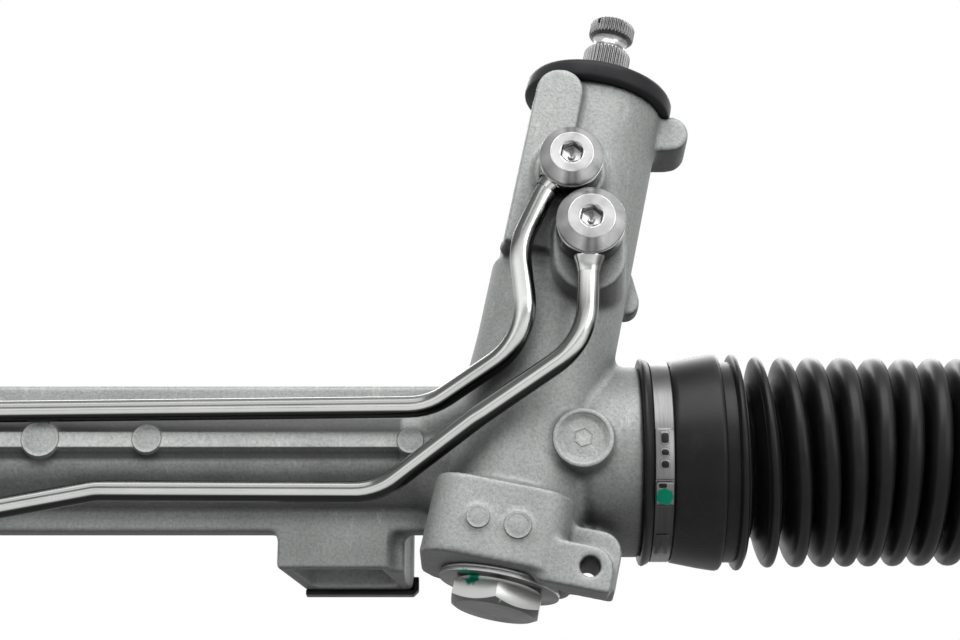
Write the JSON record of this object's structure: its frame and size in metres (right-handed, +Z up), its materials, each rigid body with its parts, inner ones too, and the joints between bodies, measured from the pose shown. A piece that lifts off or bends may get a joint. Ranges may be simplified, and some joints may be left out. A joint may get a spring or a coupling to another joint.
{
  "type": "hydraulic steering rack",
  "caption": "Hydraulic power steering rack with inclined valve tower, pinion, toothed rack bar, transfer pipes, bellows and inner tie rods.",
  "frame": {"origin": "mouth of the threaded saddle bolt hole on the back of the housing", "axes": "+X along the rack to the right as seen from the front of the gear, +Y to the back, +Z up"},
  "size_m": [1.067, 0.1225, 0.2431],
  "materials": {
    "cast": "as cast, fine grain",
    "steel": "machined",
    "dark_steel": "hardened and oiled",
    "zinc": "bright zinc plating",
    "stainless": "rolled strip",
    "bronze": "sintered",
    "rubber": "moulded, satin",
    "plastic": "moulded",
    "pale_plastic": "moulded",
    "seal": "moulded"
  },
  "bodies": {
    "housing": {"rack_housing": "cast", "upper_bearing": "steel", "lower_bearing": "steel", "input_seal": "seal", "snap_ring": "dark_steel", "lower_circlip": "dark_steel", "needle_bearing": "steel", "pinion_seal": "seal", "dust_cap": "plastic", "pinion_cap": "zinc", "cap_ring": "zinc", "inner_rack_seal": "seal", "backup_ring": "pale_plastic", "end_bush": "cast", "end_seal": "seal", "end_ring": "dark_steel", "rack_bush": "pale_plastic", "yoke": "bronze", "yoke_liner": "pale_plastic", "yoke_spring": "dark_steel", "yoke_plug": "zinc", "yoke_o_ring": "rubber", "yoke_nut": "zinc", "upper_pipe": "zinc", "lower_pipe": "zinc", "banjo_bolts": "zinc", "banjo_washers": "zinc", "pipe_nuts": "zinc", "right_bellows": "rubber", "left_bellows": "rubber", "right_band_clamp": "stainless", "left_band_clamp": "stainless", "bush_rubber": "rubber", "bush_sleeve": "zinc", "saddle_pad": "rubber"},
    "rack": {"rack_bar": "steel", "piston": "dark_steel", "piston_ring": "pale_plastic", "piston_clips": "dark_steel", "right_ball_housing": "steel", "left_ball_housing": "steel", "right_ball_seat": "pale_plastic", "left_ball_seat": "pale_plastic", "lock_washers": "dark_steel"},
    "pinion": {"pinion_shaft": "dark_steel", "valve_sleeve": "steel", "valve_rings": "pale_plastic", "drive_pin": "steel", "pinion_nut": "zinc"},
    "input": {"input_shaft": "steel", "torsion_bar": "steel", "torsion_pin": "steel"},
    "right_rod": {"right_tie_rod": "steel", "right_rod_clamp": "stainless"},
    "left_rod": {"left_tie_rod": "steel", "left_rod_clamp": "stainless"}
  },
  "joints": [
    {"name": "rack_slide", "type": "slide", "parent": "housing", "child": "rack", "axis": [1, 0, 0], "range_m": [-0.072, 0.072], "deforming": ["right_bellows", "left_bellows"]},
    {"name": "pinion_turn", "type": "hinge", "parent": "housing", "child": "pinion", "pos_m": [0.064, -0.05166, 0], "axis": [0.1994, 0, 0.9799], "range_deg": [-516.2, 516.2]},
    {"name": "valve_twist", "type": "hinge", "parent": "pinion", "child": "input", "pos_m": [0.07596, -0.05166, 0.0588], "axis": [0.1994, 0, 0.9799], "range_deg": [-4.5, 4.5], "stiffness_Nm_per_rad": 63},
    {"name": "right_rod_swing", "type": "hinge", "parent": "rack", "child": "right_rod", "pos_m": [0.219, -0.036, 0], "axis": [0, 1, 0], "range_deg": [-16, 16]},
    {"name": "left_rod_swing", "type": "hinge", "parent": "rack", "child": "left_rod", "pos_m": [-0.474, -0.036, 0], "axis": [0, 1, 0], "range_deg": [-16, 16]}
  ],
  "couplings": [
    {"joint": "pinion_turn", "follows": "rack_slide", "rad_per_m": -125}
  ]
}
